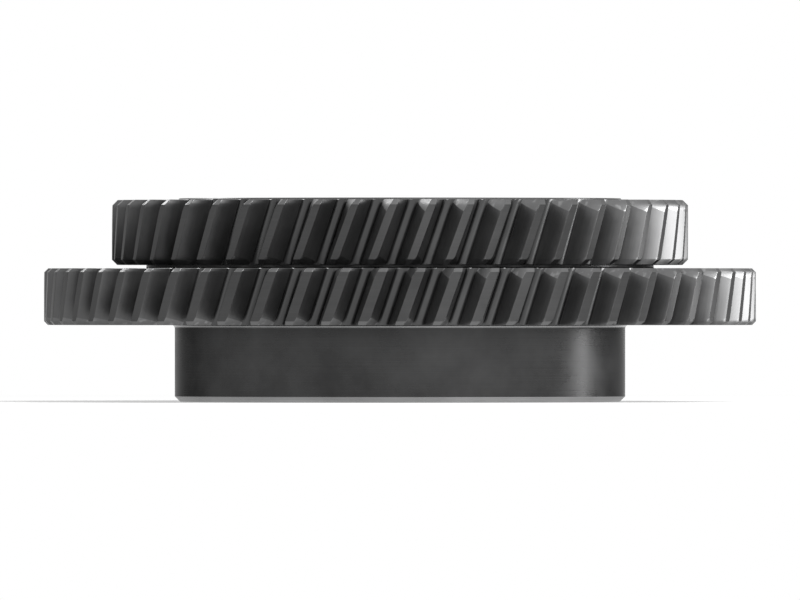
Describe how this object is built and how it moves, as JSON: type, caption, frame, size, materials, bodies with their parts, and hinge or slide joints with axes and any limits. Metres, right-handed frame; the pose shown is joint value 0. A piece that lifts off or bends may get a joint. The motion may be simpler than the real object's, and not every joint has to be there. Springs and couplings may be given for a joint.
{
  "type": "stepped double helical gear",
  "caption": "Stepped helical gear: two right-hand toothed rims of different diameter side by side, a cylindrical hub below them and a plain bore for a shaft.",
  "frame": {"origin": "on the gear's axis, in the plane of the hub's end face that it stands on", "axes": "+Z along the axis from the hub to the small rim, -Y the front, +X to the right seen from the front"},
  "size_m": [0.1976, 0.1976, 0.0564],
  "materials": {
    "gear_steel": "dark oiled machined steel"
  },
  "bodies": {
    "root": {"gear_cluster": "gear_steel"}
  },
  "joints": []
}
